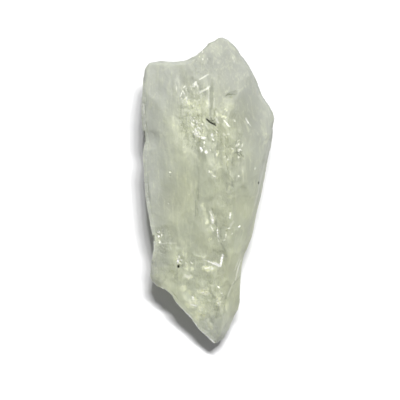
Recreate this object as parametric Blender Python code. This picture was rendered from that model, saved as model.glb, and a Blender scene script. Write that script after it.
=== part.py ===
"""Prasiolite crystal: one rough, broken shard of green quartz, lying on its flattest break.

The shard is one solid. Its outline, seen from above, is the sharp rim where the upper and the
lower breaks meet. Above the rim it is bounded by flat faces that form a long ridge, below it by
a flat resting face and the undercuts round it. Shell-shaped scars, ledges, grooves and small
facets are then cut into both sides. Lengths are in millimetres until the mesh is made.
"""

import bmesh
import bpy
import numpy as np
from mathutils import Vector
from mathutils.geometry import delaunay_2d_cdt

MM = 0.001
NAME = "crystal"
TRIANGLES = 7600

# The rim, anticlockwise from the lower tip: (x, y, height above the resting face).
RIM = [
    # the lower tip and the right side, going up
    (1.4, -25.0, 2.1), (2.6, -23.9, 2.3), (3.7, -21.7, 2.6), (4.0, -20.8, 2.8), (4.9, -19.4, 3.2),
    (5.3, -18.0, 3.8), (5.2, -15.7, 4.4), (5.4, -13.9, 4.6), (5.6, -11.9, 4.4), (5.9, -10.4, 4.0),
    (6.8, -8.6, 3.7), (7.5, -6.2, 3.8), (8.0, -3.4, 4.3), (8.8, -0.2, 4.9), (9.1, 2.2, 5.1),
    (9.5, 4.4, 5.0), (10.1, 7.0, 5.3), (10.5, 9.6, 5.9), (10.3, 10.2, 6.0), (10.8, 11.8, 5.9),
    # the right shoulder and the peak
    (10.3, 13.0, 5.6), (9.6, 14.3, 5.1), (8.6, 15.8, 4.6), (7.9, 18.1, 4.5), (7.0, 19.8, 4.6),
    (5.9, 21.4, 4.5), (5.1, 22.3, 4.3), (4.8, 23.0, 4.3), (4.0, 24.0, 4.3), (3.0, 24.8, 4.4),
    (2.2, 25.0, 4.6), (1.5, 24.9, 4.8), (0.8, 24.2, 5.1), (0.1, 24.1, 5.3),
    # the hollow between the peak and the left corner
    (-1.1, 22.7, 5.6), (-2.0, 22.0, 5.6), (-3.7, 21.2, 5.4), (-5.5, 21.0, 5.3), (-7.8, 21.1, 5.6),
    (-9.7, 20.7, 6.0),
    # the left side, going down
    (-10.3, 19.6, 6.2), (-10.6, 17.2, 6.0), (-10.8, 11.9, 5.2), (-10.5, 9.8, 5.2),
    (-10.2, 8.8, 5.4), (-10.2, 7.8, 5.6), (-10.5, 5.8, 5.7), (-10.5, 3.1, 5.5), (-10.3, 0.2, 5.2),
    (-10.1, -1.6, 5.2), (-9.7, -3.9, 5.5), (-9.3, -6.0, 5.8), (-8.8, -7.8, 5.7),
    (-8.8, -9.3, 5.3), (-9.2, -11.3, 4.8), (-9.4, -13.7, 4.5),
    # the long lower-left break, back to the tip
    (-9.0, -14.8, 4.4), (-8.3, -15.4, 4.5), (-7.6, -15.8, 4.6), (-6.9, -16.1, 4.6),
    (-5.9, -17.1, 4.5), (-5.1, -18.3, 4.3), (-4.1, -19.4, 4.2), (-3.0, -20.4, 4.2),
    (-2.3, -21.5, 3.8), (-1.6, -22.5, 3.5), (-0.6, -23.4, 3.1), (0.3, -24.3, 2.6),
]

# Flat faces above the rim: a point on each, then its rise per millimetre along x and along y.
FACES_ABOVE = {
    "left flank": (-10.6, 5.0, 6.8, 0.44, 0.02),
    "left shoulder": (-5.0, 8.0, 9.3, 0.24, -0.04),
    "crown": (0.0, 4.0, 11.0, 0.02, 0.03),
    "right shoulder": (5.0, 4.0, 10.6, -0.26, 0.02),
    "right flank": (9.5, 5.0, 7.4, -0.80, 0.03),
    "peak": (2.0, 24.5, 6.4, -0.10, -0.40),
    "peak, right side": (8.5, 16.5, 6.4, -0.56, -0.22),
    "left corner": (-6.0, 20.8, 7.3, 0.18, -0.20),
    "hollow": (-1.6, 22.4, 6.8, -0.16, -0.42),
    "lower left break": (-4.1, -19.4, 5.0, 0.24, 0.50),
    "lower right break": (4.9, -19.4, 3.5, -1.28, 0.60),
    "right waist": (5.5, -13.0, 5.6, -1.05, 0.35),
    "lower slope": (0.0, -10.0, 8.3, 0.04, 0.20),
    "left waist": (-9.0, -10.0, 6.4, 0.50, 0.14),
    "lower left corner": (-8.6, -14.6, 5.6, 0.34, 0.40),
}

# Faces below the rim. The first is the one that the shard rests on.
FACES_BELOW = {
    "resting face": (0.0, 0.0, 0.0, 0.0, 0.0),
    "under the peak": (2.0, 13.5, 0.0, 0.06, 0.36),
    "under the tip": (0.0, -16.4, 0.0, 0.05, -0.14),
    "under the upper left": (-6.4, 8.0, 0.0, -0.72, 0.16),
    "under the lower left": (-5.6, -4.0, 0.0, -0.60, -0.12),
    "under the upper right": (6.2, 3.0, 0.0, 0.74, 0.12),
    "under the lower right": (3.6, -8.0, 0.0, 0.62, -0.14),
    "under the shoulder": (6.0, 8.4, 0.0, 0.50, 0.34),
    "under the left corner": (-5.4, 14.0, 0.0, -0.34, 0.42),
    "under the middle": (0.6, 1.0, -0.35, 0.16, 0.02),
}

# How steeply the sides leave the rim, up and down: each edge of the rim draws its own slope.
SIDE_RISE = (2.6, 3.8)
SIDE_DROP = (0.9, 2.3)
SIDE_SLACK = 0.25  # how far the upper faces may stand above the sides' slopes, away from the rim
LEAST_SLOPE = 0.3  # no scar lays the surface flatter than this beside the rim

# Shell-shaped scars: x, y, radius across the break and depth.
SCARS_ABOVE = [
    (4.6, 11.6, 3.0, 0.12), (-4.8, 12.4, 3.6, 0.12), (-1.6, 15.4, 2.9, 0.30), (3.4, 16.6, 2.2, 0.06),
    (7.6, 12.6, 2.4, 0.08), (-3.2, 8.6, 2.6, 0.20), (1.4, 8.4, 2.2, 0.35), (4.2, 4.6, 2.3, 0.22),
    (2.6, 0.8, 2.0, 0.28), (-6.2, 2.2, 3.6, 0.15), (5.2, -2.8, 2.6, 0.08), (0.4, -4.8, 2.2, 0.25),
    (2.4, -7.6, 2.3, 0.30), (-6.9, -8.4, 2.2, 0.22), (-3.8, -11.6, 2.3, 0.15), (1.6, -12.0, 2.1, 0.22),
    (4.2, -12.6, 1.8, 0.20), (-5.6, -13.8, 2.1, 0.25), (-2.4, -16.2, 2.6, 0.35),
    (2.9, -17.4, 2.2, 0.30), (0.4, -19.6, 2.0, 0.30), (-9.4, 8.3, 1.7, 0.45), (-8.8, -7.4, 1.6, 0.35),
    (-8.4, 16.4, 2.6, 0.12), (5.4, 19.6, 1.8, 0.10),
]
SCARS_BELOW = [
    (-8.2, 9.0, 3.0, 0.6), (-8.4, -2.0, 2.6, 0.5), (-7.4, -11.6, 3.0, 0.7), (7.6, 3.0, 2.8, 0.6),
    (6.2, -6.0, 2.6, 0.5), (3.4, -16.6, 2.6, 0.5), (-2.4, 19.6, 3.2, 0.6), (6.2, 17.6, 3.0, 0.5),
    (-1.8, -19.8, 2.6, 0.5), (8.2, 10.2, 2.4, 0.5), (-6.8, 16.6, 2.8, 0.5), (1.8, 16.4, 2.4, 0.4),
]

# Grooves in the upper side: start, end, width and depth.
GROOVES = [
    ((0.45, 18.8), (0.40, 11.9), 0.80, 0.16),  # the straight step under the peak
    ((-0.40, 11.7), (1.45, 10.4), 0.60, 0.42),  # the open crack at its foot
    ((-1.75, 1.6), (-1.85, -5.6), 0.70, 0.14),  # beside the long flake
    ((2.9, 15.3), (4.7, 16.0), 0.70, 0.30),
]

# Ledges in the upper side: a step down to the left of a line, that fades out across its width.
LEDGES = [
    ((-3.4, -9.6), (2.2, -12.0), 3.0, 0.28),
    ((2.2, -12.0), (3.4, -8.2), 2.4, 0.25),
    ((-8.4, -8.6), (-4.2, -9.4), 2.2, 0.30),
    ((-5.2, 20.4), (-4.2, 9.0), 2.6, 0.14),
    ((4.4, 11.2), (4.0, -3.0), 2.2, 0.14),
    ((-4.6, -14.0), (1.0, -15.2), 2.0, 0.35),
]
LEDGE_WALL = 0.30  # how wide the wall of a ledge is, seen from above

# Small flat facets: their size across and along the shard, and how far their corners rise or sink.
FACETS = [(2.6, 4.6, 0.30), (1.3, 2.3, 0.20)]

# Where the upper breaks are rough: x, y, spread across, spread along. Elsewhere they are smoother.
ROUGH_PATCHES = [
    (-1.0, 12.0, 4.0, 7.0), (2.5, -2.0, 4.5, 9.0), (-3.0, -13.0, 6.0, 4.0), (1.5, -18.0, 3.5, 4.5),
]
SMOOTH_SHARE = 0.35  # how much of the relief the smooth faces keep
RIM_BAND = 1.2  # how far in from the rim the relief reaches its full height
RAISED = 1.5  # how high above the resting face the lower relief reaches its full height

GRID = 0.23  # spacing of the points across the shard
RIM_STEP = 0.30  # spacing of the points along the rim
CONTACT = 0.03  # what lies lower than this is flattened into the resting face
WEAR = 0.3  # how far each point is drawn towards its neighbours, to dull the creases
SEED = 11


def stone_material():
    material = bpy.data.materials.new("prasiolite")
    material.use_nodes = True
    shader = material.node_tree.nodes["Principled BSDF"]
    shader.inputs["Base Color"].default_value = (0.47, 0.50, 0.36, 1.0)
    shader.inputs["Roughness"].default_value = 0.3
    shader.inputs["Metallic"].default_value = 0.0
    shader.inputs["IOR"].default_value = 1.544
    shader.inputs["Transmission Weight"].default_value = 0.4
    return material


def plane_heights(points, faces):
    """The height of every face at every point, one row for each face."""
    x, y = points[:, 0], points[:, 1]
    return np.array([z0 + a * (x - x0) + b * (y - y0) for x0, y0, z0, a, b in faces.values()])


def settled_rim():
    """The rim's corners, lowered where one of the faces above passes under them."""
    rim = np.array(RIM)
    rim[:, 2] = np.minimum(rim[:, 2], plane_heights(rim[:, :2], FACES_ABOVE).min(axis=0))
    return rim


def rim_points(rim):
    """Points along the rim, at most RIM_STEP apart, with the corners among them."""
    points = []
    for start, end in zip(rim, np.roll(rim, -1, axis=0)):
        count = max(1, round(np.linalg.norm(end[:2] - start[:2]) / RIM_STEP))
        points += [start[:2] + (end[:2] - start[:2]) * i / count for i in range(count)]
    return np.array(points)


def beside_rim(points, rim):
    """Each edge's distance to each point, and the edge's height where it is nearest."""
    away, height = [], []
    for start, end in zip(rim, np.roll(rim, -1, axis=0)):
        along = end[:2] - start[:2]
        share = np.clip((points - start[:2]) @ along / (along @ along), 0, 1)
        away.append(np.linalg.norm(points - start[:2] - share[:, None] * along, axis=1))
        height.append(start[2] + share * (end[2] - start[2]))
    return np.array(away), np.array(height)


def inside(points, rim):
    """Which points lie within the rim, by counting the edges to the right of each."""
    x, y = points[:, 0], points[:, 1]
    found = np.zeros(len(points), bool)
    for (x0, y0, _), (x1, y1, _) in zip(rim, np.roll(rim, -1, axis=0)):
        if y0 == y1:
            continue
        crosses = (y0 > y) != (y1 > y)
        found ^= crosses & (x < x0 + (y - y0) * (x1 - x0) / (y1 - y0))
    return found


def smooth_share(value):
    value = np.clip(value, 0, 1)
    return value * value * (3 - 2 * value)


def leaning_plane(points, heights, near):
    """The plane that fits the heights of the points that are near, at every point."""
    plan = np.column_stack([points, np.ones(len(points))])
    return plan @ np.linalg.lstsq(plan[near], heights[near], rcond=None)[0]


def scarred(points, heights, scars):
    """Cuts shell-shaped scars: each is a cap of a sphere, square to the surface where it lies."""
    for x, y, radius, depth in scars:
        away = np.hypot(points[:, 0] - x, points[:, 1] - y)
        local = leaning_plane(points, heights, away < 0.8 * radius)
        ball = (radius**2 + depth**2) / (2 * depth)
        floor = local - depth + ball - np.sqrt(np.maximum(ball**2 - away**2, 0))
        heights = np.where(away < 1.3 * radius, np.minimum(heights, floor), heights)
    return heights


def line_place(points, start, end):
    """How far each point lies along the line, as a share, and to its left, in millimetres."""
    start, along = np.array(start), np.array(end) - np.array(start)
    length = np.linalg.norm(along)
    along = along / length
    reach = points - start
    return reach @ along / length, reach @ np.array([-along[1], along[0]])


def ends_faded(share):
    return smooth_share(4 * share) * smooth_share(4 - 4 * share)


def ledged(points, heights):
    """Steps the surface down on the left of each ledge's line, rising again across its width."""
    for start, end, width, depth in LEDGES:
        share, left = line_place(points, start, end)
        beside = np.clip(left / LEDGE_WALL, 0, 1) * (1 - smooth_share(left / width))
        heights = heights - depth * beside * ends_faded(share)
    return heights


def creases():
    """Lines across the plan that the mesh must follow: both sides and the foot of each break."""
    lines = [(start, end, left) for start, end, _, _ in LEDGES for left in (0, LEDGE_WALL)]
    return lines + [
        (start, end, left * width / 2) for start, end, width, _ in GROOVES for left in (-1, 0, 1)
    ]


def crease_points():
    """The points of every crease, and the pairs of them to be joined."""
    points, joined = [], []
    for start, end, left in creases():
        start, along = np.array(start), np.array(end) - np.array(start)
        length = np.linalg.norm(along)
        start = start + left * np.array([-along[1], along[0]]) / length
        count = round(length / GRID)
        joined += [(len(points) + i, len(points) + i + 1) for i in range(count)]
        points += [start + along * i / count for i in range(count + 1)]
    return np.array(points), joined


def grooved(points, heights):
    for start, end, width, depth in GROOVES:
        share, left = line_place(points, start, end)
        across = np.clip(1 - 2 * np.abs(left) / width, 0, 1)
        heights = heights - depth * across * np.clip(8 * share, 0, 1) * np.clip(8 - 8 * share, 0, 1)
    return heights


def facets(points, across, along, rise, random):
    """A low relief of flat triangles, between corners that lie a little high or low."""
    size = np.array([across, along])
    low, high = points.min(axis=0) / size - 1, points.max(axis=0) / size + 2
    corners = [(i, j) for j in np.arange(low[1], high[1]) for i in np.arange(low[0], high[0])]
    corners = np.array(corners) + random.uniform(-0.45, 0.45, (len(corners), 2))
    rises = random.uniform(-rise, rise, len(corners))
    relief = np.zeros(len(points))
    for tri in delaunay_2d_cdt([Vector(c) for c in corners], [], [], 0, 1e-6, False)[2]:
        first, second, third = corners[list(tri)]
        spans = np.linalg.inv(np.column_stack([second - first, third - first]))
        u, v = spans @ (points / size - first).T
        own = (u >= 0) & (v >= 0) & (u + v <= 1)
        base, end_u, end_v = rises[list(tri)]
        relief[own] = base + u[own] * (end_u - base) + v[own] * (end_v - base)
    return relief


def all_facets(points, random):
    return sum(facets(points, *facet, random) for facet in FACETS)


def roughness(points):
    """How rough the upper breaks are at each point, from SMOOTH_SHARE to one."""
    rough = np.zeros(len(points))
    for x, y, across, along in ROUGH_PATCHES:
        reach = ((points[:, 0] - x) / across) ** 2 + ((points[:, 1] - y) / along) ** 2
        rough = np.maximum(rough, smooth_share(1.4 - 0.9 * reach))
    return SMOOTH_SHARE + (1 - SMOOTH_SHARE) * rough


def surfaces(points, rim):
    """The heights of the upper and the lower side at each point."""
    random = np.random.default_rng(SEED)
    away, height = beside_rim(points, rim)
    rises = random.uniform(*SIDE_RISE, len(rim))
    drops = random.uniform(*SIDE_DROP, len(rim))
    side_above = (height + rises[:, None] * away).min(axis=0)
    side_below = (height - drops[:, None] * away).max(axis=0)
    reach, nearest = away.min(axis=0), height[away.argmin(axis=0), np.arange(len(points))]
    inward = smooth_share(reach / RIM_BAND)

    above = plane_heights(points, FACES_ABOVE).min(axis=0)
    above = grooved(points, scarred(points, ledged(points, above), SCARS_ABOVE))
    above = np.minimum(above, side_above + SIDE_SLACK * inward)
    above += inward * roughness(points) * all_facets(points, random)
    above = np.maximum(above, nearest + LEAST_SLOPE * reach)

    below = plane_heights(points, FACES_BELOW).max(axis=0)
    raised = smooth_share(below / RAISED)
    below = -scarred(points, -below, SCARS_BELOW)
    below = np.maximum(below, side_below)
    below += inward * raised * all_facets(points, random)
    below = np.minimum(below, nearest - LEAST_SLOPE * reach)
    return above, np.maximum(below, 0.0)


def shard_mesh():
    """A closed mesh: one triangulated plan, raised to the upper side and to the lower side."""
    rim = settled_rim()
    border = rim_points(rim)
    low, high = border.min(axis=0), border.max(axis=0)
    rows = np.arange(low[1], high[1], GRID * 0.866)
    columns = np.arange(low[0], high[0], GRID)
    grid = np.array([(x + GRID / 2 * (row % 2), y) for row, y in enumerate(rows) for x in columns])
    grid = grid[inside(grid, rim)]
    grid = grid[beside_rim(grid, rim)[0].min(axis=0) > 0.6 * GRID]
    folds, joined = crease_points()
    grid = grid[np.linalg.norm(grid[:, None] - folds[None], axis=2).min(axis=1) > 0.5 * GRID]
    edges = [(i, (i + 1) % len(border)) for i in range(len(border))]
    edges += [(len(border) + i, len(border) + j) for i, j in joined]
    points = [Vector(p) for p in np.vstack([border, folds, grid])]
    found = delaunay_2d_cdt(points, edges, [], 1, 1e-6, False)
    plan = np.array([tuple(v) for v in found[0]])
    triangles = found[2]
    above, below = surfaces(plan, rim)
    on_rim = beside_rim(plan, rim)[0].min(axis=0) < 1e-4
    mesh = bmesh.new()
    upper = [mesh.verts.new((x, y, z)) for (x, y), z in zip(plan, above)]
    lower = [
        top if shared else mesh.verts.new((x, y, z))
        for top, shared, (x, y), z in zip(upper, on_rim, plan, below)
    ]
    for a, b, c in triangles:
        if not on_rim[[a, b, c]].all():
            mesh.faces.new((upper[a], upper[b], upper[c]))
            mesh.faces.new((lower[c], lower[b], lower[a]))
    bmesh.ops.delete(mesh, geom=[v for v in mesh.verts if not v.link_faces], context="VERTS")
    rim_kept = {upper[i] for i in np.flatnonzero(on_rim)}
    worn = [v for v in mesh.verts if v not in rim_kept]
    bmesh.ops.smooth_vert(mesh, verts=worn, factor=WEAR, use_axis_z=True)
    return mesh


def simplified(mesh):
    """The mesh with flat stretches merged into fewer triangles, as a new bmesh."""
    data = bpy.data.meshes.new("fine")
    mesh.to_mesh(data)
    helper = bpy.data.objects.new("fine", data)
    bpy.context.scene.collection.objects.link(helper)
    decimate = helper.modifiers.new("Decimate", "DECIMATE")
    decimate.ratio = TRIANGLES / len(mesh.faces)
    mesh.free()
    result = bmesh.new()
    result.from_object(helper, bpy.context.evaluated_depsgraph_get())
    bpy.data.objects.remove(helper)
    return result


def settled(mesh):
    """Lays the resting face on z = 0 and centres the shard over the origin."""
    corners = np.array([v.co for v in mesh.verts])
    middle = (corners.min(axis=0) + corners.max(axis=0)) / 2
    for vertex in mesh.verts:
        vertex.co.x -= middle[0]
        vertex.co.y -= middle[1]
        if vertex.co.z < CONTACT:
            vertex.co.z = 0.0
        vertex.co *= MM
    return mesh


def build():
    for thing in list(bpy.data.objects):
        bpy.data.objects.remove(thing)
    mesh = settled(simplified(shard_mesh()))
    data = bpy.data.meshes.new(NAME)
    mesh.to_mesh(data)
    mesh.free()
    data.materials.append(stone_material())
    bpy.context.scene.collection.objects.link(bpy.data.objects.new(NAME, data))


build()
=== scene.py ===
"""The looks of the prasiolite crystal: a milky shard of pale green quartz on a white surface.

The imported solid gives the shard's shape. Its surface is remeshed finely, and then broken up as
the real one is: small flat facets, chips, cracks, streaks and pits, each at its place. Lengths
inside this script are in millimetres, in the part's own frame, until the mesh is finished.
"""

import math
from contextlib import contextmanager

import bmesh
import bpy
import numpy as np
from mathutils import Matrix
from mathutils.kdtree import KDTree


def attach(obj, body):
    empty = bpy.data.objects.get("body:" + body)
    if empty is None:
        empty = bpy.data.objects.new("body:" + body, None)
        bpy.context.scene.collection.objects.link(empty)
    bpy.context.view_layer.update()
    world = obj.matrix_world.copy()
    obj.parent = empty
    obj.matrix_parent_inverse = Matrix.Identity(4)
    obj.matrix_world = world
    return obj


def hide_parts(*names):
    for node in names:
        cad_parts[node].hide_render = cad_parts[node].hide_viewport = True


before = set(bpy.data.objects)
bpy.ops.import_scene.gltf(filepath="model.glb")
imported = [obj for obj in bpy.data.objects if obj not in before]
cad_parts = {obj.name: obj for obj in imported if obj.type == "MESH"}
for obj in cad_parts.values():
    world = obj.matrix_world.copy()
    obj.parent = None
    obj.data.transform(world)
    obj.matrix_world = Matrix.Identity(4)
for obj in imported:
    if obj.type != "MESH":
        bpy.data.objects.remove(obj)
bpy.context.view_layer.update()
scene = bpy.context.scene

MM = 0.001
VOXEL = 0.155  # size of the fine mesh's faces
TRIANGLES = 148_000  # about how many the mesh keeps before its marks are refined
WELD = 1e-4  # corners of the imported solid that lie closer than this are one
REMESH_TURN = (math.radians(37), 4, (0.5, 0.3, 0.8))  # the turn while it is remeshed: angle, size, axis
SHARP_ANGLE = math.radians(24)  # edges that turn more than this look sharp
RESTING = 0.06  # what lies lower than this belongs to the resting face, and stays flat
UPPER_SIDE = 0.5  # the upper side is where "above", 0 facing down and 1 facing up, is more than this

# Seeds of the random values. A noise in two layers or along two axes also takes the next one.
SPARKLE_SEED, LEAN_SEED, STREAK_SEED, GRAIN_SEED = 5, 6, 7, 9
VEIL_SEED, LONG_VEIL_SEED, PALE_SEED, DEPTH_SEED = 20, 22, 24, 30
HIDDEN_SEED, HIDDEN_DEPTH_SEED, HOLLOW_SEED = 40, 50, 60

# The camera looks straight down. The frame is 400 pixels wide.
PIXEL = 50.0 / 308  # what one pixel covers, at the height of the rim
FRAME_PIXELS = 400
PIXEL_OF_ORIGIN = (208.1, 191.0)  # where the part's origin lies in the frame, from its upper left corner
RIM_HEIGHT = 5.0
CAMERA_DISTANCE = 300.0  # from the height of the rim
SENSOR = 36.0
NEAREST_SEEN = 10.0

# The light: a row of lamps beyond the peak, turned by these degrees from +Y towards +X.
LAMP_TURNS = (0, 10, 20, 30)
LIGHT_ELEVATION = math.radians(57)
LIGHT_ANGLE = math.radians(4)


# -------- places on the surface


def toward_lamp(turn):
    """The direction from the stone to the lamp with this turn."""
    side, flat = math.radians(turn), math.cos(LIGHT_ELEVATION)
    return np.array([math.sin(side) * flat, math.cos(side) * flat, math.sin(LIGHT_ELEVATION)])


def glint_normal():
    """The way a facet faces to mirror the lamps to a camera straight above."""
    halfway = toward_lamp(np.mean(LAMP_TURNS)) + [0, 0, 1]
    return halfway / np.linalg.norm(halfway)


# Narrow bright facets on top, glossy and with a painted highlight: x, y, length, width, turn in degrees, and
# how bright.
GLINTS = [
    # under the peak
    (-0.7, 18.3, 1.6, 0.22, 32, 0.45), (-0.6, 16.1, 1.8, 0.24, 28, 0.6), (-2.1, 17.1, 1, 0.41, 60, 0.8),
    (-4.3, 15.6, 1.1, 0.2, 67, 0.7), (-3.9, 15.8, 0.7, 0.18, -70, 0.6), (-4.3, 14.8, 0.3, 0.26, 0, 0.5),
    (-5.1, 16.4, 0.9, 0.15, 90, 0.5), (-0.9, 22.5, 0.4, 0.26, 60, 0.6), (4, 21.5, 0.5, 0.16, 95, 0.4),
    (4.2, 20.9, 0.5, 0.16, 80, 0.4),
    # the sparkling middle
    (-1.9, 9.15, 0.9, 0.42, 20, 0.9), (-2.4, 9.4, 0.5, 0.26, 60, 0.7), (-1.5, 8.7, 0.5, 0.32, -20, 0.8),
    (-0.75, 8.45, 0.8, 0.36, 0, 0.8), (-0.65, 7.75, 0.5, 0.28, 80, 0.7), (-1.15, 6.75, 0.7, 0.32, -60, 0.8),
    (-0.35, 6.15, 0.4, 0.28, 0, 0.7), (-2.7, 11.4, 0.9, 0.14, -55, 0.5), (-2.2, 10.6, 0.6, 0.14, -30, 0.5),
    (-1.4, 10.9, 0.5, 0.12, 40, 0.4), (-1.9, 9.9, 0.4, 0.15, 60, 0.5), (-1, 10.2, 0.6, 0.12, -50, 0.4),
    (1.1, 11.7, 0.5, 0.16, 60, 0.5), (1.35, 9.4, 0.9, 0.14, 75, 0.5),
    # right of the middle
    (2.95, 10.75, 1.3, 0.2, -50, 0.8), (6.4, 11, 1.6, 0.18, -56, 0.5), (1.3, 5.8, 0.5, 0.21, 60, 0.5),
    (4.85, 7.4, 0.4, 0.28, 80, 0.6), (4.8, 8, 0.5, 0.18, 30, 0.4), (3.1, 5, 0.7, 0.26, 60, 0.4),
    (2.6, 5.4, 0.5, 0.26, 20, 0.3), (7.5, 3.6, 0.5, 0.26, 70, 0.3), (4.85, 2.35, 0.3, 0.26, 60, 0.7),
    (0.15, 3.05, 0.5, 0.18, 60, 0.45), (0.9, 2.35, 0.7, 0.2, -25, 0.5),
    # the left face
    (-6.1, 3, 0.4, 0.26, -10, 0.5), (-6.4, -2, 0.3, 0.22, 60, 0.25),
    # the long flake and beside it
    (0.72, -4.6, 0.7, 0.34, 80, 0.5), (0.5, -3.8, 1, 0.2, -65, 0.4), (0.6, -6, 1, 0.14, -62, 0.4),
    (1.5, -6.7, 1.5, 0.15, 88, 0.7), (3.5, -3.9, 0.8, 0.15, 85, 0.7), (2.85, -7, 0.8, 0.14, 85, 0.5),
    (5, -5.7, 0.4, 0.26, 30, 0.7),
    # the bright corner of the lower ledge
    (2.15, -11.2, 1.9, 0.28, 77, 1), (0.9, -11.7, 1.8, 0.18, -25, 0.8), (-0.2, -12.4, 0.8, 0.34, 0, 0.2),
    # beside the left rim, and the bright spot over the pit
    (-7.95, -6.7, 0.4, 0.26, 0, 0.8), (-7.95, -7.3, 0.4, 0.26, 40, 0.8), (-7.8, -8.25, 0.4, 0.29, 0, 0.8),
    (-4.7, -10.6, 0.6, 0.2, 80, 0.6), (-4.85, -11.3, 0.6, 0.28, 70, 0.8), (-4.3, -11.1, 0.4, 0.2, 60, 0.6),
    # the lower end
    (-0.8, -16.3, 0.9, 0.26, 12, 0.2), (-2.4, -18.5, 0.8, 0.26, -20, 0.3), (2.1, -16.5, 0.9, 0.2, -58, 0.2),
    (1.6, -18.1, 0.7, 0.26, -65, 0.3), (4.9, -12.2, 1.9, 0.14, 72, 0.45), (4.6, -13.2, 1.3, 0.14, 72, 0.3),
]

# Patches sprinkled with small glints: x, y, spread across, spread along, how many.
SPARKLES = [
    (-1.8, 10.5, 0.9, 1.4, 18), (-2.6, 14.6, 1.4, 1.8, 8), (-0.4, 7.4, 1, 1.4, 10), (3, 9.6, 1.6, 2, 5),
    (5, 5.8, 0.7, 1.8, 8), (3.2, -6.8, 0.9, 1.8, 3), (-7.4, -7.6, 0.6, 0.9, 3), (-4, -11.6, 1.2, 1, 3),
    (0.4, -12.2, 1.2, 0.5, 4), (-2.6, -17.4, 1.3, 1.2, 3), (1.8, -17, 0.6, 1.5, 2),
    (-1.4, 20.6, 1.2, 1.2, 3),
]

GLINT_STEP = 0.45  # how far a glint's steps lie apart
GLINT_REACH = 0.1  # how far a glint moves the surface at most
GLINT_LEAN = 0.03  # how far glints lean at random from the way that mirrors the lamps
GLINT_WALL = 2.0  # how steeply the sides of a glint's steps climb or fall
GLINT_MARGIN = 1.5  # how far round a glint they may reach, as a share of its size
GLINT_POINTS = 3  # the fewest points that make a step
GLINT_FADE = 4  # one over the margin in which the gloss fades, as a share of the glint's size
STEP_NUMBERS = [100, 1]  # make one number of a step's column and row

# Fine cracks and grooves: x and y of both ends, width, depth.
CRACKS = [
    (-0.2, 11.4, 1.15, 10.4, 0.34, 0.35), (2.6, 15.1, 4.5, 15.7, 0.3, 0.22),
    (-1.8, 0.6, -1.84, -4.2, 0.34, 0.06), (4.3, 7, 5, 5.2, 0.3, 0.18), (5, 6.8, 5.6, 5, 0.26, 0.16),
    (2.6, 7.6, 3.3, 2.2, 0.26, 0.12), (0.6, -2.6, 1.6, -8.2, 0.26, 0.12),
]

# The lower left and the left rim, where the upper side runs out to a sharp edge: x and y of each corner.
LOWER_RIM = (-7.6, -15.8, -6.9, -16.1, -5.1, -18.3, -3, -20.4, -1.6, -22.5, 1.3, -25)
LEFT_RIM = (
    -10.6, 17.2, -10.8, 11.9, -10.5, 9.8, -10.2, 8.3, -10.5, 5.8, -10.5, 3.1, -10.1, -1.6, -9.3, -6,
    -8.8, -7.8, -8.8, -9.3, -9.2, -11.3,
)
RIM_BAND = 0.55  # how wide the band along them is that is lifted
RIM_FALL = 0.35  # how steeply the lifted band still falls outwards
RIM_SOURCE = 1.6  # its height comes from what lies less than this many bands inside
RIM_SOURCE_UP, RIM_LIFTED_UP = 0.9, 0.3  # how far up what gives the height, and what is lifted, has to face
RIM_NEAR = 4  # how many of the nearest points give the height
WALL_BAND = 1.5  # the wall that is evened out below: within this many bands of the rim,
WALL_UP = (-0.6, 0.35)  # and with normals that point up by no less and no more than this
RELAX_ROUNDS, RELAX_SHARE = 8, 0.5  # how often the wall is evened out, and how far each time

# Pits: x, y, radius, depth.
PITS = [
    (-4.8, -12.2, 0.26, 0.4), (8.1, 1.3, 0.22, 0.25), (0.3, 10.95, 0.4, 0.25), (-6.1, 2.4, 0.2, 0.12),
    (3.6, 15.1, 0.35, 0.22),
]


# -------- the mesh as arrays


def read(items, name):
    """A vector of each of the items, as rows."""
    values = np.empty(len(items) * 3)
    items.foreach_get(name, values)
    return values.reshape(-1, 3)


def read_points(mesh):
    return read(mesh.vertices, "co")


def read_normals(mesh):
    mesh.update()
    return read(mesh.vertex_normals, "vector")


@contextmanager
def opened(mesh):
    """The mesh opened for edits, which are written back to it."""
    worked = bmesh.new()
    worked.from_mesh(mesh)
    yield worked
    worked.to_mesh(mesh)
    worked.free()


def placed(name, data):
    """A new object in the scene."""
    made = bpy.data.objects.new(name, data)
    scene.collection.objects.link(made)
    return made


def modified(mesh, kind, settings, group=None):
    """The mesh as a modifier leaves it, which may act on a group of its points."""
    helper = placed("helper", mesh)
    modifier = helper.modifiers.new(kind, kind)
    for name, value in settings.items():
        setattr(modifier, name, value)
    if group is not None:
        helper.vertex_groups.new(name="group").add(group, 1.0, "REPLACE")
        modifier.vertex_group = "group"
    graph = bpy.context.evaluated_depsgraph_get()
    changed = bpy.data.meshes.new_from_object(helper.evaluated_get(graph))
    bpy.data.objects.remove(helper)
    return changed


def write_points(mesh, points):
    mesh.vertices.foreach_set("co", points.ravel())
    mesh.update()


def fine_mesh():
    """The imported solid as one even, closed mesh, in millimetres.

    It is turned while it is remeshed, so that no row of faces lies along an axis."""
    turned = Matrix.Rotation(*REMESH_TURN)
    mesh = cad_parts["crystal"].data.copy()
    mesh.transform(turned @ Matrix.Scale(1 / MM, 4))
    with opened(mesh) as welded:
        bmesh.ops.remove_doubles(welded, verts=welded.verts, dist=WELD)
    fine = modified(mesh, "REMESH", {"mode": "VOXEL", "voxel_size": VOXEL, "adaptivity": 0})
    fine.transform(turned.inverted())
    return fine


# -------- breaking up the surface

TINY = 1e-6  # keeps divisors off zero
NOISE_VALUES = 4096  # how many random values the noise draws from
NOISE_KEYS = [73856093, 19349663, 83492791]  # primes that spread the cells over these values

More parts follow.
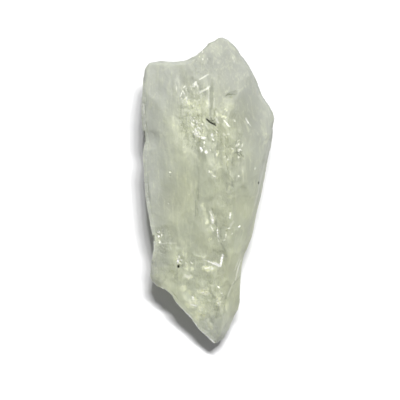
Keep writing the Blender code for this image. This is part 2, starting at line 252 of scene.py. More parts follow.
NEAR_FACETS = 4  # how many of the nearest facet planes a point chooses from
SIDES_APART = 0.9  # how far points move out before planes are shared out, so that the rim's two sides part
FEWEST_POINTS = 3  # a facet plane that no more points lie nearest to is left out
LEAST_SLANT = 0.6  # so is one that leans too far from the surface at a point: the cosine between them
HOLLOW_SIZE, HOLLOW_CONTRAST = 2.5, 1.6  # how many facets wide hollow places are, and how sharply they begin


def eased(value):
    """The value held between 0 and 1, with a soft start and end."""
    value = np.clip(value, 0, 1)
    return value * value * (3 - 2 * value)


def noise(points, size, seed):
    """Smooth random values from -1 to 1 that change over the given size, one for each point."""
    place = points / np.array(size)
    cell = np.floor(place).astype(np.int64)
    share = eased(place - cell)
    table = np.random.default_rng(seed).uniform(-1, 1, NOISE_VALUES)
    total = np.zeros(len(points))
    for corner in np.ndindex(2, 2, 2):
        key = ((cell + corner) * NOISE_KEYS).sum(axis=1) % len(table)
        weight = np.where(corner, share, 1 - share).prod(axis=1)
        total += table[key] * weight
    return total


def layered_noise(points, layers, seed):
    """The sum of noises of the given reach and size."""
    return sum(reach * noise(points, size, seed + number) for number, (reach, size) in enumerate(layers))


def tree_of(places, numbers):
    """A tree that finds the numbers of the places nearest to a point."""
    tree = KDTree(len(numbers))
    for place, number in zip(places, numbers):
        tree.insert(place, number)
    tree.balance()
    return tree


def jittered_seeds(points, size, random):
    """Points about one size apart, as shares of the size, that fill the box of the points."""
    low, high = points.min(axis=0) / size, points.max(axis=0) / size
    axes = [np.arange(a, b + 1) for a, b in zip(low, high)]
    lattice = np.stack(np.meshgrid(*axes), -1).reshape(-1, 3)
    return lattice + random.uniform(-0.5, 0.5, lattice.shape)


def facet_planes(points, normals, cell, count, tilt, random):
    """For each cell, a point and the way its facet faces: as the surface does there, but leaning."""
    shares = np.maximum(np.bincount(cell, minlength=count), 1)
    middle = np.array([np.bincount(cell, points[:, i], count) / shares for i in range(3)]).T
    facing = np.array([np.bincount(cell, normals[:, i], count) / shares for i in range(3)]).T
    facing += random.normal(0, tilt, facing.shape)
    return middle, facing / np.maximum(np.linalg.norm(facing, axis=1), TINY)[:, None]


def faceted(points, normals, size, strength, tilt, limit, seed):
    """Cuts the surface into small flat facets that meet in creases.

    Each point goes to the lowest, or in places to the highest, of the facet planes nearest to it."""
    random = np.random.default_rng(seed)
    apart = points + SIDES_APART * normals
    seeds = jittered_seeds(apart, size, random)
    tree = tree_of(seeds, range(len(seeds)))
    near = np.array([[found[1] for found in tree.find_n(place, NEAR_FACETS)] for place in apart / size])
    middle, facing = facet_planes(points, normals, near[:, 0], len(seeds), tilt, random)
    used = np.bincount(near[:, 0], minlength=len(seeds)) > FEWEST_POINTS
    reaches = []
    for column in near.T:
        reach = ((middle[column] - points) * facing[column]).sum(axis=1)
        slant = (normals * facing[column]).sum(axis=1)
        good = used[column] & (slant > LEAST_SLANT)
        reaches.append(np.where(good, reach / np.maximum(slant, LEAST_SLANT), np.nan))
    reaches = np.array(reaches)
    missing = np.isnan(reaches).all(axis=0)
    reaches[0, missing] = 0
    lowest, highest = np.nanmin(reaches, axis=0), np.nanmax(reaches, axis=0)
    hollow = eased(0.5 + HOLLOW_CONTRAST * noise(points, HOLLOW_SIZE * size, seed + HOLLOW_SEED))
    move = np.clip(lowest + (highest - lowest) * hollow, -limit, limit) * strength
    return points + move[:, None] * normals


def line_place(points, start, end):
    """How far each point lies along the line and to its side, and the line's length."""
    along = np.array(end) - np.array(start)
    length = np.linalg.norm(along)
    along = along / length
    reach = points[:, :2] - start
    return reach @ along, reach @ np.array([-along[1], along[0]]), length


def from_line(points, numbers):
    """How far each point lies from a line, seen from above, given the x and y of each of its corners."""
    corners = list(zip(numbers[::2], numbers[1::2]))
    away = np.full(len(points), np.inf)
    for start, end in zip(corners, corners[1:]):
        along, aside, length = line_place(points, start, end)
        beyond = np.maximum(np.maximum(-along, along - length), 0)
        away = np.minimum(away, np.hypot(aside, beyond))
    return away


def from_sharp_rim(points):
    """How far each point lies from the sharp rims, seen from above."""
    return np.minimum(from_line(points, LOWER_RIM), from_line(points, LEFT_RIM))


def sharp_rim(points, above):
    """Lifts the band along the sharp rims, so that the upper side runs on to the very edge."""
    away = from_sharp_rim(points)
    inside = np.flatnonzero((away > RIM_BAND) & (away < RIM_SOURCE * RIM_BAND) & (above > RIM_SOURCE_UP))
    flat = points * [1, 1, 0]
    tree = tree_of(flat[inside], inside)
    moved = points.copy()
    for index in np.flatnonzero((away < RIM_BAND) & (above > RIM_LIFTED_UP)):
        near = [found[1] for found in tree.find_n(flat[index], RIM_NEAR)]
        height = points[near, 2].mean() - RIM_FALL * (RIM_BAND - away[index])
        moved[index, 2] = max(points[index, 2], height)
    return moved


def relax_wall(mesh):
    """Evens out the steep wall below the sharp rims, which was stretched when the rims were lifted."""
    upright = read_normals(mesh)[:, 2]
    wall = from_sharp_rim(read_points(mesh)) < WALL_BAND * RIM_BAND
    wall &= (upright > WALL_UP[0]) & (upright < WALL_UP[1])
    axes = dict.fromkeys(("use_axis_x", "use_axis_y", "use_axis_z"), True)
    with opened(mesh) as worked:
        steep = [vertex for vertex in worked.verts if wall[vertex.index]]
        for _ in range(RELAX_ROUNDS):
            bmesh.ops.smooth_vert(worked, verts=steep, factor=RELAX_SHARE, **axes)


CRACK_WAVES = ((0.1, 3.1, 1), (0.05, 7.7, 0))  # how cracks wind: reach, pace, share of the start's x added
CRACK_ENDS = 0.5  # the length over which a crack runs out


def cracked(points, above):
    """Carves the cracks and pits into the upper side, straight down."""
    drop = np.zeros(len(points))
    for *ends, width, depth in CRACKS:
        along, aside, length = line_place(points, ends[:2], ends[2:])
        for reach, pace, shift in CRACK_WAVES:
            aside = aside + reach * np.sin(pace * along + shift * ends[0])
        share = eased(along / CRACK_ENDS) * eased((length - along) / CRACK_ENDS)
        drop = np.maximum(drop, depth * share * np.clip(1 - 2 * np.abs(aside) / width, 0, 1))
    for x, y, radius, depth in PITS:
        away = np.hypot(points[:, 0] - x, points[:, 1] - y)
        drop = np.maximum(drop, depth * eased(1 - away / radius))
    moved = points.copy()
    moved[:, 2] -= drop * above
    return moved


SPARKLE_SCATTER = 0.6  # how far sparkles scatter, as a share of their patch
SPARKLE_LENGTHS = (0.25, 0.8)
SPARKLE_WIDTHS = (0.25, 0.55)  # as shares of the length
SPARKLE_TURN, SPARKLE_TURN_SCATTER = 80, 40
SPARKLE_GLOSS = (0.2, 0.8)


def all_glints():
    """The narrow glints, and the small ones sprinkled over their patches."""
    random = np.random.default_rng(SPARKLE_SEED)
    found = list(GLINTS)
    for x, y, across, along, count in SPARKLES:
        for _ in range(count):
            length = random.uniform(*SPARKLE_LENGTHS)
            place = [middle + random.normal(0, SPARKLE_SCATTER) * spread
                     for middle, spread in ((x, across), (y, along))]
            width = length * random.uniform(*SPARKLE_WIDTHS)
            turn = random.normal(SPARKLE_TURN, SPARKLE_TURN_SCATTER)
            found.append((*place, length, width, turn, random.uniform(*SPARKLE_GLOSS)))
    return found


GLINT_SLANT = 0.5  # how far a glint's ends slant, as a share of its width
GLINT_CORNERS = 0.75  # one over how far its cut corners reach


def beyond_glint(points, glint):
    """How far each point lies beyond the glint, a slanting bar with cut corners, as a share of its size."""
    x, y, length, width, turn, _ = glint
    ahead = np.array([math.cos(math.radians(turn)), math.sin(math.radians(turn))])
    reach = points[:, :2] - (x, y)
    along, aside = reach @ ahead, reach @ np.array([-ahead[1], ahead[0]])
    along, aside = np.abs(2 * along / length), np.abs(2 * aside / width - GLINT_SLANT * along / length)
    return np.maximum(np.maximum(along, aside), GLINT_CORNERS * (along + aside)) - 1


FINE_ROUND_GLINT = 0.2  # how far round a glint the mesh is finer
FINE_ROUND_PIT = 1.3  # and round a pit, as a share of its radius
FINE_UP = 0.3  # how far up the surface has to face there


def finely_marked(points):
    """Which points lie at a glint, a crack, a thin line or a pit, where the mesh has to be finer."""
    marked = np.zeros(len(points), bool)
    for glint in all_glints():
        marked |= beyond_glint(points, glint) < 1 + FINE_ROUND_GLINT / glint[3]
    for *ends, width, _ in CRACKS:
        along, aside, length = line_place(points, ends[:2], ends[2:])
        marked |= (np.abs(aside) < width) & (along > 0) & (along < length)
    marked |= lines(points, PALE_AND_HIGHLIGHT_LINES + RECESS_SHADE_LINES) > 0
    for x, y, radius, _ in PITS:
        marked |= np.hypot(points[:, 0] - x, points[:, 1] - y) < FINE_ROUND_PIT * radius
    return marked


def thinned(mesh):
    """The mesh with fewer faces on its underside, about TRIANGLES in all; its upper side is kept."""
    underside = np.flatnonzero(read_normals(mesh)[:, 2] < 0).tolist()
    ratio = min(1.0, TRIANGLES / sum(len(face.vertices) - 2 for face in mesh.polygons))
    return modified(mesh, "DECIMATE", {"ratio": ratio}, underside)


def refine(mesh):
    """Splits the mesh's faces in four on the upper side, at the small marks.

    Corners of only two faces are taken out, because such faces lie back to back on each other."""
    points, normals = read_points(mesh), read_normals(mesh)
    wanted = finely_marked(points) & (normals[:, 2] > FINE_UP)
    with opened(mesh) as worked:
        edges = [e for e in worked.edges if wanted[e.verts[0].index] and wanted[e.verts[1].index]]
        bmesh.ops.subdivide_edges(worked, edges=edges, cuts=1, use_grid_fill=True)
        bmesh.ops.dissolve_verts(worked, verts=[v for v in worked.verts if len(v.link_edges) == 2])


def glinting(points, above):
    """Turns each glint into small flat steps that mirror the lamps to the camera.

    Returns the points, and how glossy the surface is at each, which also places the glints' painted
    highlight."""
    random = np.random.default_rng(LEAN_SEED)
    moved = points.copy()
    gloss_and_painted_glint = np.zeros(len(points))
    for glint in all_glints():
        beyond = beyond_glint(points, glint)
        near = np.flatnonzero((beyond < GLINT_MARGIN) & (above > UPPER_SIDE))
        facing = glint_normal() + np.append(random.normal(0, GLINT_LEAN, 2), 0)
        step = np.round((points[near, :2] - glint[:2]) / GLINT_STEP) @ STEP_NUMBERS
        for number in np.unique(step):
            band = near[step == number]
            own = band[beyond[band] < 0]
            if len(own) < GLINT_POINTS:
                continue
            middle = moved[own].mean(axis=0)
            flat = middle[2] - ((points[band, :2] - middle[:2]) @ facing[:2]) / facing[2]
            wall = GLINT_WALL * glint[3] / 2 * np.maximum(beyond[band], 0)
            aim = np.clip(moved[band, 2], flat - wall, flat + wall)
            moved[band, 2] += np.clip(aim - moved[band, 2], -GLINT_REACH, GLINT_REACH)
        gloss_and_painted_glint[near] = np.maximum(gloss_and_painted_glint[near], glint[5] * (1 - eased(GLINT_FADE * beyond[near])))
    return moved, gloss_and_painted_glint


# Where the breaks are rough, on top: x, y, spread across, spread along, how rough.
ROUGH_PATCHES = [
    (-2.2, 12.2, 2.6, 5.6, 0.95), (2.4, 9.6, 3.2, 4.6, 0.6), (2.8, 1, 2.8, 5, 0.42),
    (2, -7.4, 2.6, 4.4, 0.46), (-2.4, -12.6, 4.6, 3, 0.64), (0.2, -17.8, 3, 4.2, 0.78),
    (-7.2, -8, 1.6, 2.4, 0.62), (5.4, -11.6, 1.4, 3.6, 0.4), (-7.8, -12.8, 1.8, 2.4, 0.5),
    (1, -22.4, 2.4, 3, 0.5), (-0.8, 20, 2.2, 2.4, 0.4),
]
SMOOTH_TOP, HIDDEN_ROUGH = 0.16, 0.75  # how rough the rest of the upper side is, and all the rest
ROUGH_EDGE = 1.5  # the rough patches end where the square of the share of their spread reaches this


def roughness_of(points, above):
    """How rough the stone is broken at each point."""
    rough = np.where(above > UPPER_SIDE, SMOOTH_TOP, HIDDEN_ROUGH)
    for x, y, across, along, how in ROUGH_PATCHES:
        reach = ((points[:, 0] - x) / across) ** 2 + ((points[:, 1] - y) / along) ** 2
        rougher = np.maximum(rough, how * eased(ROUGH_EDGE - reach))
        rough = np.where(above > UPPER_SIDE, rougher, rough)
    return rough


# The facets, from large to small: size across, along and in depth, lean, how far they cut, and the seed.
FACET_SIZES = [
    ((1.9, 3.6, 1.9), 0.04, 0.14, 1),
    ((0.9, 1.7, 0.9), 0.07, 0.08, 2),
    ((0.45, 0.8, 0.45), 0.11, 0.05, 3),
]
# Streaks and grain: coarser and finer ones, with how far they reach and their size.
STREAKS = ((1, (0.3, 2.6, 0.3)), (0.5, (0.16, 1.2, 0.16)))
GRAIN = ((1, (0.5, 0.5, 0.5)), (0.5, (0.25, 0.25, 0.25)))
STREAK_DEPTH, STREAK_DEPTH_ROUGH = 0.01, 0.018  # how deep streaks are, and how much more where it is rough
GRAIN_DEPTH = 0.008
UP_FROM, UP_OVER = -0.1, 0.3  # what faces up this far is no longer below, and so much further fully on top


def upward(normals):
    """One where the surface faces up, nothing where it faces down."""
    return eased((normals[:, 2] - UP_FROM) / UP_OVER)


def broken_surface(mesh):
    """Breaks up the fine mesh, and keeps the resting face flat.

    Returns the new mesh, its points, and whether it faces up, how rough and how glossy it is there; the
    gloss also places the painted highlight."""
    for size, tilt, limit, seed in FACET_SIZES:
        points, normals = read_points(mesh), read_normals(mesh)
        resting = points[:, 2] < RESTING
        rough = roughness_of(points, upward(normals))
        points = faceted(points, normals, np.array(size), rough, tilt, limit, seed)
        points[resting, 2] = 0
        write_points(mesh, points)
    mesh = thinned(mesh)
    refine(mesh)
    points, normals = read_points(mesh), read_normals(mesh)
    resting = points[:, 2] < RESTING
    above = upward(normals)
    rough = roughness_of(points, above)
    streaks = (STREAK_DEPTH + STREAK_DEPTH_ROUGH * rough) * layered_noise(points, STREAKS, STREAK_SEED)
    grain = GRAIN_DEPTH * layered_noise(points, GRAIN, GRAIN_SEED)
    points = points + normals * (streaks + grain)[:, None]
    points = cracked(sharp_rim(points, above), above)
    points, gloss_and_painted_glint = glinting(points, above)
    points[:, 2] = np.where(resting, 0, np.maximum(points[:, 2], 0))
    write_points(mesh, points)
    relax_wall(mesh)
    return mesh, read_points(mesh), upward(read_normals(mesh)), rough, gloss_and_painted_glint


# -------- colour, with painted light and shade, as values on the mesh

# Pale veils inside the stone, on top, partly painted glow of light passing through: x, y, spread across,
# spread along, strength.
VEILS_AND_PAINTED_GLOW = [
    # the upper part and the sparkling middle
    (-2.3, 11.8, 2.1, 3.9, 0.32), (-1.5, 9.2, 1.3, 1.3, 0.5), (-1.4, 13.2, 0.7, 0.9, 0.5),
    (-0.4, 14.1, 0.7, 0.8, 0.45), (-1.3, 21.6, 1.5, 1.3, 0.2), (1.1, 22.9, 1.6, 1.3, 0.2),
    (3.3, 13.3, 1.2, 1.2, 0.36), (1.8, 13, 1.3, 1.1, 0.08), (1.4, 9.5, 0.4, 0.8, 0.55),
    (9.1, 9.9, 0.5, 3.2, 0.25), (-8.5, 18, 1.3, 1.3, 0.12),
    # the left face and the middle
    (-4.4, 9.1, 1.5, 2.8, 0.25), (-5.9, 10.7, 1, 1.3, 0.3), (-2.9, 5, 1.3, 2.3, 0.15),
    (3, 4.7, 0.9, 1.1, 0.5), (3.7, 6.4, 0.8, 0.5, 0.45), (1.3, 3.9, 0.8, 0.6, 0.3),
    (3.4, 0.5, 0.3, 0.5, 0.45), (3.4, -1, 0.4, 0.4, 0.35), (-3.3, -2.9, 0.4, 0.5, 0.25),
    # the long flake and beside it
    (0.7, -4.6, 0.6, 1, 0.7), (0.3, -6.8, 0.7, 1.6, 0.3), (2, -4.9, 0.6, 0.8, 0.25),
    (3.2, -6.7, 0.8, 1.6, 0.3), (-7.8, -7.5, 0.6, 1, 0.3), (-3.8, -9.8, 0.5, 1, 0.4),
    (-4.2, -8.4, 0.5, 0.9, 0.3),
    # round the bright corner and the pit
    (0.1, -12.5, 1.2, 0.5, 0.75), (-4.8, -11.2, 0.6, 0.8, 0.7), (-2.6, -12.5, 0.5, 0.7, 0.7),
    (-3.4, -12.4, 0.7, 1.1, 0.49), (-3.3, -13.8, 0.8, 0.5, 0.84), (-5.6, -13.7, 0.4, 0.4, 0.49),
    # the lower end, partly painted glow of light passing through
    (-4.1, -15.7, 0.8, 0.6, 0.91), (-3.8, -17.2, 0.4, 0.5, 0.7), (-3, -16.5, 0.6, 0.6, 0.56),
    (-0.8, -16.3, 1.1, 0.7, 0.98), (-2.1, -17.4, 0.7, 0.9, 0.49), (-2.6, -18.3, 1.1, 0.9, 0.91),
    (-1.7, -19.7, 0.8, 1.2, 0.84), (-0.8, -19, 1.6, 2.3, 0.42), (0.3, -21.8, 0.6, 1, 0.56),
    (1.6, -17.4, 0.6, 1.5, 0.7), (3.3, -20.1, 0.5, 0.9, 0.42), (3, -18.8, 0.5, 0.9, 0.35),
]
# Long pale veils: x and y of each corner, width and strength.
LONG_VEILS = [
    (-0.9, -2.2, -0.2, -5, 0.55, 0.55), (0.2, 3.1, 1.2, 2.1, 0.38, 0.45), (1.5, 6.3, 1.4, 5.5, 0.36, 0.7),
    (1.5, 12.2, 2.7, 11.8, 0.45, 0.5), (-6, 9.6, -4.6, 5, 0.4, 0.22), (-5.2, 10.6, -3.8, 6.2, 0.34, 0.22),
    (-4.4, 9, -3.2, 4.4, 0.34, 0.22), (-6.6, 8.4, -5.6, 3.6, 0.44, 0.2), (-4, 3.8, -3.1, -0.6, 0.36, 0.18),
    (-2.8, 2.6, -2.4, -4.6, 0.3, 0.16), (0.6, 16, 0.55, 12.9, 0.3, 0.4),
]
# Darker places, where the eye looks deeper into the stone.
DEPTHS = [
    (-5.9, 1.1, 1.6, 1.3, 0.35), (3.7, 15.3, 1, 0.5, 0.5), (0.5, 10.9, 0.8, 0.5, 0.4),
    (4.7, 6.3, 0.8, 1.3, 0.45), (2.9, -21.3, 1.6, 2.6, 0.3), (-7.3, -11.5, 1.1, 1.9, 0.2),
    (2.4, -9.2, 0.25, 0.4, 0.5), (-0.3, -9.4, 0.4, 0.9, 0.25), (5, -17.7, 0.5, 2.3, 0.3),
    (4.1, 15.6, 0.3, 0.4, 0.5), (1.6, -20, 1, 1, 0.2), (5.8, 17.4, 1.3, 1.3, 0.12),
]
# Where the thin ends and edges are greyer than the middle: x, y, spread across, spread along, how grey.
GREYS = [
    (0, 25, 12, 11, 1), (-9, 20, 8, 11, 1), (7, 20, 7, 10, 1), (12, 13, 7.5, 16, 1), (-11.5, 6, 6.5, 22, 1),
    (-9.2, -11, 3, 5.5, 0.7), (2, -25.5, 5, 6.5, 0.9),
]
# painted shade: the stone is painted darker towards its upper end, which faces the lamps
UPPER_PAINTED_SHADE = 0.22  # the share by which the stone darkens from its lower end to its upper one
PAINTED_SHADE_MIDDLE, PAINTED_SHADE_LENGTH = 0.45, 50  # how much of that is reached at the origin, and its length
# Painted light and shade: broad places painted lighter (above 0) or darker than the rest: x, y, spread
# across, spread along, change.
PAINTED_LIGHT_AND_SHADE = [
    # the peak and the right side
    (4.6, 17.5, 5.5, 7, -0.14), (1.6, 14.4, 2, 2.2, -0.08), (-1.6, 20, 2.2, 3, -0.1),
    (7.4, 9.8, 3.2, 3.6, -0.17), (5.2, 12.5, 2.2, 3, -0.08), (1.2, 22.5, 4, 4, -0.12),
    (5.2, 3.1, 2.6, 4, -0.1), (5.8, 0.3, 1.8, 1.4, 0.18), (3.8, 16.6, 1.6, 2, -0.06),
    # the sparkling middle
    (-1.8, 11.4, 3, 3.5, 0.2), (0.9, 9.2, 1.8, 1.8, 0.22), (1, 0.2, 2, 1.4, 0.1), (-1, 6, 2.2, 1.2, -0.12),
    (0.2, -1.2, 2.4, 3, 0.06), (-0.8, 0.8, 1.2, 2.6, 0.12), (-2.6, 0.6, 1, 2.2, -0.08),
    (0.2, -5.4, 1.6, 2, -0.06),
    # the left side
    (-7, 9.1, 3.5, 6, 0.04), (-9.3, -7.5, 1.4, 3.2, 0.24), (-7.4, -9.6, 1.4, 1.6, -0.14),
    (-8.1, -11.6, 1.6, 2.6, -0.06), (-6.8, -15, 1.6, 2.2, 0.04), (-5.2, 4.4, 1.8, 1.8, 0.12),
    (-4.6, 16.9, 1.4, 2, -0.1), (-6.2, -1.2, 3, 2.6, -0.16), (-8.6, -13.6, 1.5, 3.5, -0.05),
    (-6.2, -13.3, 1.4, 1.6, 0.08), (-5.9, -16.6, 1, 1.2, 0.06),
    # the lower end
    (-2.9, -13.6, 4.5, 5, 0.1), (-1.2, -17.8, 2.4, 2.8, 0.1), (1.9, -12, 2.6, 2.6, -0.16),
    (5.2, -8.5, 1.2, 1.8, 0.1), (-0.5, -10.2, 1.6, 1.4, -0.1), (3.2, -13.3, 2.2, 1.8, -0.12),
    (-4.2, -18.3, 1.4, 1.4, 0.12), (-2.6, -19.4, 1.6, 1.4, 0.12), (-2.2, -20.6, 1.2, 1.4, 0.12),
    (-0.4, -22.4, 1.8, 1.8, 0.08), (-0.4, -19.2, 1.8, 2.6, 0.1), (3.6, -23, 1.2, 1.4, 0.12),
    (4.4, -16.5, 1.5, 3, -0.14), (3.4, -22, 1.2, 2.4, 0.18), (3, -21, 1.6, 2.6, -0.06),
]

BROAD_EDGE, PATCH_EDGE = 1.3, 1.25  # where broad places and patches end, as shares of their spread
# How ragged the patches' edges are: a coarser and a finer reach, each with its size.
PATCH_RAGGED = ((0.45, (0.9, 1.4, 0.9)), (0.3, (0.4, 0.6, 0.4)))
# The patches that no one has seen, in the same way, and how strong they are.
HIDDEN_PATCHES = ((1, (3, 5, 3)), (0.6, (1.2, 2, 1.2)))
HIDDEN_STRENGTH = 0.6


def spread_reach(points, x, y, across, along):
    """How far each point lies from the place, seen from above, as a share of the place's spread."""
    return np.hypot((points[:, 0] - x) / across, (points[:, 1] - y) / along)


def tone(points):
    """How much lighter or darker than its plain colour the stone is at each point: painted light and shade.
    """
    total = np.ones(len(points))
    for *place, change in PAINTED_LIGHT_AND_SHADE:
        total += change * eased(BROAD_EDGE - spread_reach(points, *place))
    # painted shade, growing towards the upper end
    painted_shade = eased(PAINTED_SHADE_MIDDLE + points[:, 1] / PAINTED_SHADE_LENGTH)
    return total * (1 - UPPER_PAINTED_SHADE * painted_shade)


def edge_share(points):
    """How grey the stone is: grey where it is thin, yellowish green where the eye looks deep into it."""
    share = np.zeros(len(points))
    for *place, strength in GREYS:
        share = np.maximum(share, strength * eased(BROAD_EDGE - spread_reach(points, *place)))
    return share


def patches(points, above, places, seed):
    """Soft patches at the given places, with ragged edges."""
    uneven = layered_noise(points, PATCH_RAGGED, seed)
    total = np.zeros(len(points))
    for *place, strength in places:
        reach = spread_reach(points, *place)
        total = np.maximum(total, strength * eased(PATCH_EDGE - reach + uneven))
    return total * above


def hidden_patches(points, above, seed):
    """The same kind of patches where no one has seen them: the underside and the sides."""
    return eased(layered_noise(points, HIDDEN_PATCHES, seed)) * (1 - above) * HIDDEN_STRENGTH


# Thin pale lines, partly pale fracture marks and partly painted light, as highlights on glints and glow
# along the rims: x and y of each corner, width and strength.
PALE_AND_HIGHLIGHT_LINES = [
    # the lower left rim, painted glow where light leaves the edge
    (*LOWER_RIM, 0.3, 1), (-9.2, -14.8, -7.6, -15.8, 0.36, 0.6),
    # the right and the left rim, painted light along the edges
    (10.6, 9, 9.4, 3, 8, -3.4, 7.2, -7, 0.4, 0.25), (9.9, 8, 8.9, 3.4, 7.5, -2.4, 0.25, 0.2),
    (-10.5, 14, -10.3, 12.6, 0.25, 0.45), (-10.2, 12.2, -10.1, 11.4, 0.2, 0.35),
    # under the peak
    (-1.3, 17.9, 0, 18.7, 0.26, 0.35), (-1.3, 15.8, 0.2, 16.7, 0.28, 0.5),
    (-2, 17.5, -1.65, 16.75, 0.26, 0.8), (-2.15, 17.5, -2.45, 17, 0.22, 0.5),
    (-2.9, 16.7, -2.2, 16.7, 0.2, 0.4), (0.1, 16.4, 0.08, 13, 0.16, 0.35), (0.92, 14.8, 0.9, 13, 0.16, 0.35),
    # round the open crack
    (2.5, 11.2, 3, 10.6, 0.14, 0.6), (3, 10.6, 3.3, 10.25, 0.26, 0.8), (1.3, 11.4, 1.6, 10.9, 0.26, 0.6),
    (6, 11.7, 6.4, 10.9, 0.26, 0.35), (-0.3, 10.4, 0, 9.9, 0.22, 0.5), (2.45, 9.1, 2.6, 8.9, 0.36, 0.6),
    (3.1, 9, 3.3, 9, 0.3, 0.4), (-2.9, 11.9, -2.3, 11.3, 0.18, 0.5), (-2, 9.5, -1.8, 9, 0.55, 0.7),
    (-1, 8.5, -0.6, 8.4, 0.42, 0.5), (-1.9, 10.9, -1.2, 10.6, 0.14, 0.4),
    # the middle
    (-1.2, 6.7, -1.1, 6.3, 0.4, 0.5), (-0.4, 6.3, -0.3, 6.1, 0.4, 0.7), (0.7, 2.5, 1.1, 2.2, 0.22, 0.35),
    (0.1, 3.2, 0.3, 2.8, 0.18, 0.3),
    # the long flake and beside it
    (0.72, -4.3, 0.75, -4.95, 0.48, 0.8), (0.3, -3.3, 0.65, -4.3, 0.34, 0.6),
    (-0.25, -4.6, -0.1, -5.1, 0.18, 0.35), (0.33, -5.45, 0.83, -6.4, 0.18, 0.5),
    (1.48, -6.3, 1.55, -7.3, 0.24, 0.9), (1.55, -7.3, 1.7, -8.1, 0.18, 0.4),
    (2.85, -6.7, 2.8, -7.5, 0.16, 0.5), (3.5, -3.5, 3.48, -4.4, 0.24, 0.8), (3.3, -6, 4.1, -4.9, 0.26, 0.3),
    (-7.9, -8.4, -5.2, -8.4, 0.18, 0.35),
    # the bright corner and the spot over the pit
    (2.35, -10.3, 1.95, -12, 0.34, 1), (0.1, -11.35, 1.8, -12.1, 0.24, 0.9),
    (-0.6, -11.1, 0.1, -11.35, 0.16, 0.6), (0.9, -11.6, 1.7, -12, 0.44, 1),
    (-0.4, -12.4, 0.2, -12.4, 0.3, 0.3), (0, -12.4, 0.8, -12.7, 0.2, 0.45),
    (-4.85, -11, -4.85, -11.5, 0.34, 0.8), (-4.65, -10.5, -4.6, -10.7, 0.2, 0.7),
    (-3.7, -13.6, -3.2, -13.9, -2.8, -13.7, 0.34, 0.5),
    # the lower end
    (-0.9, -16.5, -0.1, -16.6, 0.36, 0.35), (-1.3, -15.8, -0.6, -15.8, 0.26, 0.25),
    (-2.9, -17.6, -2.85, -18.1, 0.3, 0.3), (-2.7, -18.4, -2, -18.6, 0.3, 0.45),
    (1.5, -17.7, 1.75, -18.4, 0.3, 0.4), (1.9, -16.1, 2.4, -16.9, 0.22, 0.35),
    (4.1, -14.7, 3.2, -17, 0.2, 0.35), (5.3, -11.2, 4.7, -13.2, 4.4, -14.4, 0.18, 0.45),
    (5, -11, 4.3, -12.8, 0.14, 0.35),
]
# Thin grey lines: painted shade along the rim, where it turns away from the light, and faint seams.
GREY_SHARE = 0.3  # how dark they are, compared with the dark lines
SEAM_AND_RIM_SHADE_LINES = [
    (-9.6, 20.8, -5.5, 21.1, -3.7, 21.3, -1.1, 22.8, 0.8, 24.3, 2.2, 25.1, 0.3, 0.45),
    (4, 24.1, 7, 19.9, 8.6, 15.9, 10.8, 11.9, 0.35, 0.45), (-10.6, 5.8, -10.5, 9.4, -10.8, 12, 0.3, 0.45),
    # the straight strip under the peak, and below it
    (0.54, 17.8, 0.5, 16.5, 0.5, 0.35), (0.5, 16.5, 0.42, 13.2, 0.6, 0.75),
    (0.4, 13.2, 0.36, 12.2, 0.34, 0.75), (0.37, 12.2, 0.4, 11.6, 0.22, 0.6),
    (0.9, 10.2, 1.7, 9.3, 0.18, 0.4), (-2.9, 12.3, -2.2, 11.4, -2, 10.3, 0.16, 0.45),
    (-1.2, 10.6, -0.9, 9.6, -1, 9, 0.16, 0.45), (-2.5, 9.4, -2.2, 8.4, 0.16, 0.45),
    (-1.3, 8.3, -0.3, 7.9, 0.16, 0.4), (-0.2, 8.9, 0.1, 8, 0.18, 0.35),
    # the middle and right of it
    (4.4, 7.6, 4.6, 6.4, 5, 5.2, 0.22, 0.5), (5.2, 7.8, 5.4, 6.2, 0.18, 0.4),
    (3.9, 5.3, 3.8, 4.4, 0.2, 0.45), (2.9, 1.3, 3, 0.7, 2.9, 0, 0.22, 0.5), (3.8, 1.4, 3.8, 0.8, 0.2, 0.4),
    (-1.9, 5, -1.5, 2.6, -1.6, 0.2, 0.16, 0.25),
    # beside the long flake
    (-2, -1.6, -2, -4, 0.2, 0.45), (-1.55, 0.2, -1.55, -1.2, 0.18, 0.35), (-1.8, -2.4, -1.2, -5, 0.2, 0.22),
    (1.2, -4.2, 1.3, -5.4, 0.2, 0.4), (2, -6, 2, -7.6, 0.18, 0.35), (2.7, -9.6, 2.1, -8.4, 0.24, 0.45),
    # round the pit
    (-5, -12.6, -5, -14.4, 0.18, 0.3), (-4.1, -11.9, -4.1, -12.2, 0.2, 0.5),
    (-4.3, -10.9, -4.3, -11.2, 0.18, 0.45),
    # the ridge of the lower end
    (5.3, -13.8, 4.5, -14.6, 3.9, -15.2, 0.22, 0.35), (3.6, -15.2, 2.9, -17.2, 2.5, -19.3, 0.2, 0.2),
]
# Thin dark lines of painted shade, where a crack, a notch or a pit lets no light out.
RECESS_SHADE_LINES = [
    (-0.25, 11.45, 0.25, 10.95, 1.15, 10.45, 0.24, 1), (0.55, 11.6, 0.62, 11.2, 1, 11.3, 0.12, 0.7),
    (-4.8, -12.1, -4.8, -12.25, 0.34, 1), (-10.35, 9.6, -10.25, 8.6, -10.2, 8, 0.26, 0.8),
    (-8.78, -7.2, -8.75, -8, 0.22, 0.7), (8.1, 1.4, 8.08, 1.2, 0.22, 0.9),
]

RAGGED_SIZE = (0.4, 0.4, 0.4)
LONG_VEILS_RAGGED, PALE_RAGGED = 0.15, 0.07  # how far the borders of long veils and pale lines wander
LINE_EDGE = 1.5  # where a line ends on each side, in halves of its width


def ragged(points, reach, seed):
    """The points, moved aside by up to the reach, so that what is drawn there has ragged borders."""
    moved = points.copy()
    for axis in range(2):
        moved[:, axis] += reach * noise(points, RAGGED_SIZE, seed + axis)
    return moved


def lines(points, places):
    """The strength of each line along it, nothing beyond its edge."""
    total = np.zeros(len(points))
    for *corners, width, strength in places:
        total = np.maximum(total, strength * eased(LINE_EDGE - from_line(points, corners) * 2 / width))
    return total


# -------- the material


